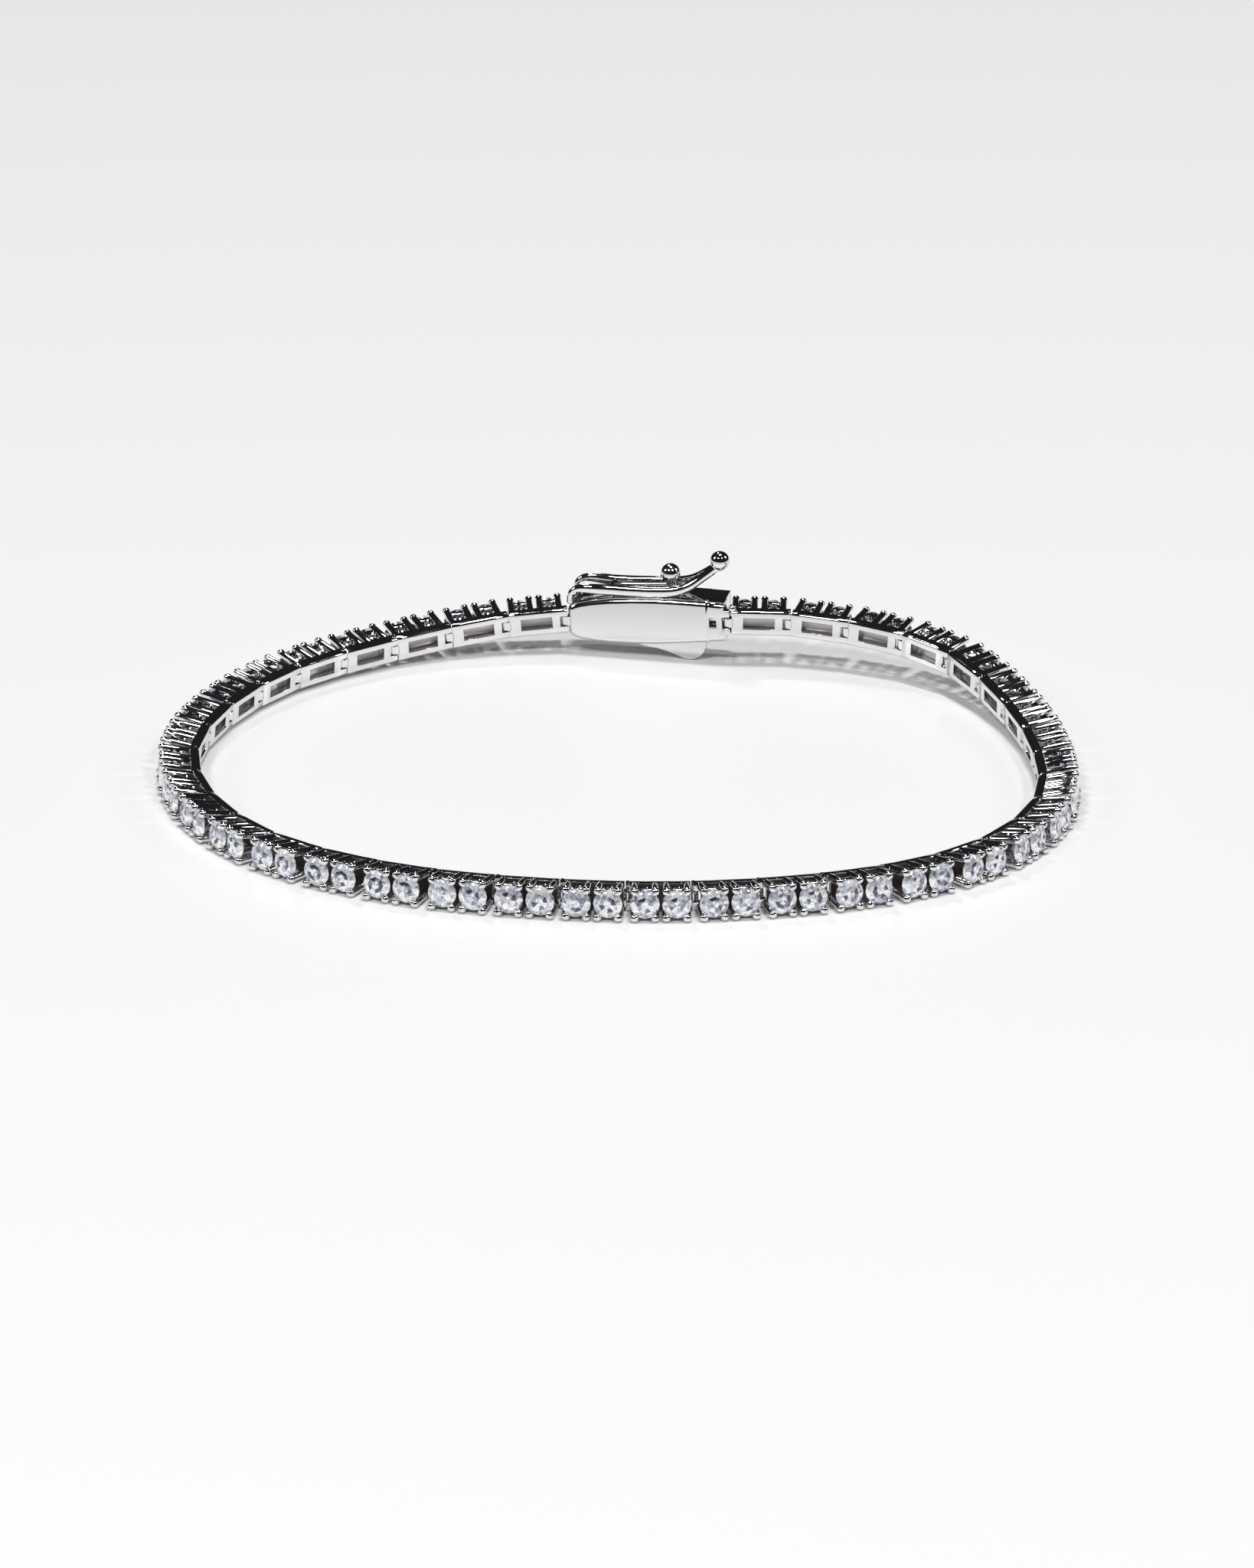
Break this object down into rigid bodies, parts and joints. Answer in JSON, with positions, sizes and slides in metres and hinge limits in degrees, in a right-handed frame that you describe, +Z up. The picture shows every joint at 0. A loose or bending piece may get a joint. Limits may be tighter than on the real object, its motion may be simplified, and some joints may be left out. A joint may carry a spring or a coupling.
{
  "type": "tennis bracelet",
  "caption": "Closed tennis bracelet of hinged two-stone links with round brilliants in prongs, a box clasp and a wire safety lever, lying on its edge.",
  "frame": {"origin": "middle of the bounding box, at the level the bracelet lies on", "axes": "+Z up, the bracelet lying on its edge; +X along the oval's long way; -Y towards the viewer, with the clasp at the far side, +Y"},
  "size_m": [0.066, 0.0558, 0.0086],
  "materials": {
    "set_stones": "polished settings with clear brilliant-cut stones",
    "polished_metal": "mirror polished, rhodium white"
  },
  "bodies": {
    "row": {"link_01": "set_stones", "link_02": "set_stones", "link_03": "set_stones", "link_04": "set_stones", "link_05": "set_stones", "link_06": "set_stones", "link_07": "set_stones", "link_08": "set_stones", "link_09": "set_stones", "link_10": "set_stones", "link_11": "set_stones", "link_12": "set_stones", "link_13": "set_stones", "link_14": "set_stones", "link_15": "set_stones", "link_16": "set_stones", "link_17": "set_stones", "link_18": "set_stones", "link_19": "set_stones", "link_20": "set_stones", "link_21": "set_stones", "link_22": "set_stones", "link_23": "set_stones", "link_24": "set_stones", "link_25": "set_stones", "link_26": "set_stones", "link_27": "set_stones", "link_28": "set_stones", "link_29": "set_stones", "link_30": "set_stones", "link_31": "set_stones", "link_32": "set_stones", "link_33": "set_stones", "link_34": "set_stones", "link_35": "set_stones", "link_36": "set_stones", "link_37": "set_stones", "clasp_box": "polished_metal", "clasp_tongue": "polished_metal"},
    "lever": {"safety_lever": "polished_metal"}
  },
  "joints": [
    {"name": "lever_hinge", "type": "hinge", "parent": "row", "child": "lever", "pos_m": [-0.00314, 0.02626, 0.00409], "axis": [-0.2021, -0.9794, 0], "range_deg": [0, 110]}
  ]
}
